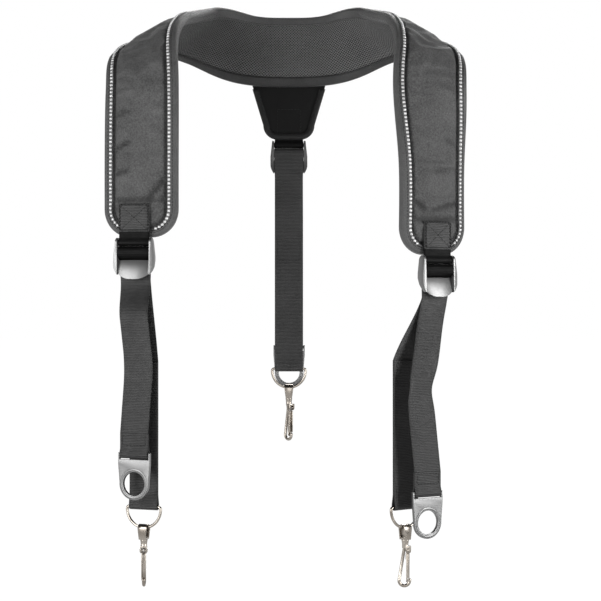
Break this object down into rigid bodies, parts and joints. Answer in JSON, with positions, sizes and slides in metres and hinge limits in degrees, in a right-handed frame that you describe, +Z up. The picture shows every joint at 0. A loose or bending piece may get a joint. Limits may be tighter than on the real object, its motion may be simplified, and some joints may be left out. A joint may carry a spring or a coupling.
{
  "type": "padded instrument shoulder strap",
  "caption": "Padded horseshoe yoke that goes over the shoulders, with adjustable webbing straps that each end in a D-ring and a swivel snap hook to carry an instrument.",
  "frame": {"origin": "middle of the neck band's lining at the nape, where the wearer's neck carries it", "axes": "+X to the wearer's left, +Y backward, +Z up"},
  "size_m": [0.3748, 0.2606, 0.6189],
  "materials": {
    "shell_fabric": "dark grey woven polyester, matt, softly wrinkled",
    "spacer_mesh": "black spacer mesh with small diamond cells",
    "foam": "grey closed-cell foam, hidden",
    "binding": "black ribbed grosgrain",
    "reflective": "black piping with silver reflective dashes",
    "tab_fabric": "black woven polyester",
    "webbing": "dark grey ribbed polyester webbing",
    "plastic": "glossy dark grey moulded acetal",
    "nickel": "warm nickel plate, polished with fine wear",
    "spring_steel": "drawn spring wire"
  },
  "bodies": {
    "yoke": {"outer_shell": "shell_fabric", "foam_core": "foam", "mesh_lining": "spacer_mesh", "edge_binding": "binding", "reflective_piping": "reflective", "back_tab": "tab_fabric", "back_tab_binding": "binding", "right_anchor_webbing": "webbing", "left_anchor_webbing": "webbing", "back_anchor_webbing": "webbing"},
    "right_buckle": {"right_ladder_lock": "plastic", "right_strap": "webbing", "right_tail": "webbing"},
    "right_end": {"right_ring_loop": "webbing"},
    "right_ring": {"right_d_ring": "nickel"},
    "right_eye": {"right_hook_eye": "nickel"},
    "right_hook": {"right_hook_body": "nickel", "right_gate_pin": "nickel"},
    "right_gate": {"right_gate": "nickel", "right_gate_spring": "spring_steel"},
    "right_hem": {"right_tail_hem": "webbing"},
    "right_pull": {"right_pull_ring": "plastic"},
    "left_buckle": {"left_ladder_lock": "plastic", "left_strap": "webbing", "left_tail": "webbing"},
    "left_end": {"left_ring_loop": "webbing"},
    "left_ring": {"left_d_ring": "nickel"},
    "left_eye": {"left_hook_eye": "nickel"},
    "left_hook": {"left_hook_body": "nickel", "left_gate_pin": "nickel"},
    "left_gate": {"left_gate": "nickel", "left_gate_spring": "spring_steel"},
    "left_hem": {"left_tail_hem": "webbing"},
    "left_pull": {"left_pull_ring": "plastic"},
    "back_buckle": {"back_ladder_lock": "plastic", "back_strap": "webbing", "back_tail": "webbing"},
    "back_end": {"back_ring_loop": "webbing"},
    "back_ring": {"back_d_ring": "nickel"},
    "back_eye": {"back_hook_eye": "nickel"},
    "back_hook": {"back_hook_body": "nickel", "back_gate_pin": "nickel"},
    "back_gate": {"back_gate": "nickel", "back_gate_spring": "spring_steel"},
    "back_hem": {"back_tail_hem": "webbing"},
    "back_pull": {"back_pull_ring": "plastic"}
  },
  "joints": [
    {"name": "right_buckle_tilt", "type": "hinge", "parent": "yoke", "child": "right_buckle", "pos_m": [-0.15478, -0.18856, -0.2218], "axis": [-0.9781, 0.2079, 0], "range_deg": [-20, 75]},
    {"name": "right_strap_adjust", "type": "slide", "parent": "right_buckle", "child": "right_end", "axis": [0, 0, -1], "range_m": [-0.073, 0.144], "deforming": ["right_strap"]},
    {"name": "right_tail_slide", "type": "slide", "parent": "right_buckle", "child": "right_hem", "axis": [0, 0, 1], "range_m": [-0.073, 0.144], "deforming": ["right_tail"]},
    {"name": "right_pull_swing", "type": "hinge", "parent": "right_hem", "child": "right_pull", "pos_m": [-0.15301, -0.20427, -0.4378], "axis": [-0.9272, 0.3746, 0], "range_deg": [-10, 80]},
    {"name": "right_ring_swing", "type": "hinge", "parent": "right_end", "child": "right_ring", "pos_m": [-0.14519, -0.18671, -0.4918], "axis": [-0.9336, 0.3584, 0], "range_deg": [-75, 75]},
    {"name": "right_eye_swing", "type": "hinge", "parent": "right_ring", "child": "right_eye", "pos_m": [-0.14519, -0.18671, -0.5133], "axis": [-0.9336, 0.3584, 0], "range_deg": [-70, 45]},
    {"name": "right_hook_swivel", "type": "hinge", "parent": "right_eye", "child": "right_hook", "pos_m": [-0.14519, -0.18671, -0.5133], "axis": [0, 0, 1], "continuous": true},
    {"name": "right_gate_open", "type": "hinge", "parent": "right_hook", "child": "right_gate", "pos_m": [-0.14519, -0.18971, -0.5363], "axis": [1, 0, 0], "range_deg": [0, 8], "stiffness_Nm_per_rad": 0.02, "springref_deg": -20.05},
    {"name": "left_buckle_tilt", "type": "hinge", "parent": "yoke", "child": "left_buckle", "pos_m": [0.15502, -0.1874, -0.2398], "axis": [-0.8572, -0.515, 0], "range_deg": [-20, 75]},
    {"name": "left_strap_adjust", "type": "slide", "parent": "left_buckle", "child": "left_end", "axis": [0, 0, -1], "range_m": [-0.053, 0.164], "deforming": ["left_strap"]},
    {"name": "left_tail_slide", "type": "slide", "parent": "left_buckle", "child": "left_hem", "axis": [0, 0, 1], "range_m": [-0.053, 0.164], "deforming": ["left_tail"]},
    {"name": "left_pull_swing", "type": "hinge", "parent": "left_hem", "child": "left_pull", "pos_m": [0.14303, -0.2121, -0.4758], "axis": [-0.8572, -0.515, 0], "range_deg": [-10, 80]},
    {"name": "left_ring_swing", "type": "hinge", "parent": "left_end", "child": "left_ring", "pos_m": [0.12134, -0.2032, -0.4898], "axis": [-0.7771, -0.6293, 0], "range_deg": [-75, 15]},
    {"name": "left_eye_swing", "type": "hinge", "parent": "left_ring", "child": "left_eye", "pos_m": [0.12134, -0.2032, -0.5113], "axis": [-0.7771, -0.6293, 0], "range_deg": [-70, 45]},
    {"name": "left_hook_swivel", "type": "hinge", "parent": "left_eye", "child": "left_hook", "pos_m": [0.12134, -0.2032, -0.5113], "axis": [0, 0, 1], "continuous": true},
    {"name": "left_gate_open", "type": "hinge", "parent": "left_hook", "child": "left_gate", "pos_m": [0.12434, -0.2032, -0.5343], "axis": [0, 1, 0], "range_deg": [0, 8], "stiffness_Nm_per_rad": 0.02, "springref_deg": -20.05},
    {"name": "back_buckle_tilt", "type": "hinge", "parent": "yoke", "child": "back_buckle", "pos_m": [0, 0.01883, -0.10355], "axis": [1, 0, 0], "range_deg": [-20, 75]},
    {"name": "back_strap_adjust", "type": "slide", "parent": "back_buckle", "child": "back_end", "axis": [0, 0, -1], "range_m": [-0.058, 0.159], "deforming": ["back_strap"]},
    {"name": "back_tail_slide", "type": "slide", "parent": "back_buckle", "child": "back_hem", "axis": [0, 0, 1], "range_m": [-0.058, 0.159], "deforming": ["back_tail"]},
    {"name": "back_pull_swing", "type": "hinge", "parent": "back_hem", "child": "back_pull", "pos_m": [0, 0.03383, -0.33455], "axis": [1, 0, 0], "range_deg": [-10, 80]},
    {"name": "back_ring_swing", "type": "hinge", "parent": "back_end", "child": "back_ring", "pos_m": [0, 0.01502, -0.35855], "axis": [1, 0, 0], "range_deg": [-75, 15]},
    {"name": "back_eye_swing", "type": "hinge", "parent": "back_ring", "child": "back_eye", "pos_m": [0, 0.01502, -0.38005], "axis": [1, 0, 0], "range_deg": [-70, 45]},
    {"name": "back_hook_swivel", "type": "hinge", "parent": "back_eye", "child": "back_hook", "pos_m": [0, 0.01502, -0.38005], "axis": [0, 0, 1], "continuous": true},
    {"name": "back_gate_open", "type": "hinge", "parent": "back_hook", "child": "back_gate", "pos_m": [0.00193, 0.01273, -0.40305], "axis": [0.766, 0.6428, 0], "range_deg": [0, 8], "stiffness_Nm_per_rad": 0.02, "springref_deg": -20.05}
  ],
  "couplings": [
    {"joint": "right_tail_slide", "follows": "right_strap_adjust", "ratio": 1},
    {"joint": "left_tail_slide", "follows": "left_strap_adjust", "ratio": 1},
    {"joint": "back_tail_slide", "follows": "back_strap_adjust", "ratio": 1}
  ]
}
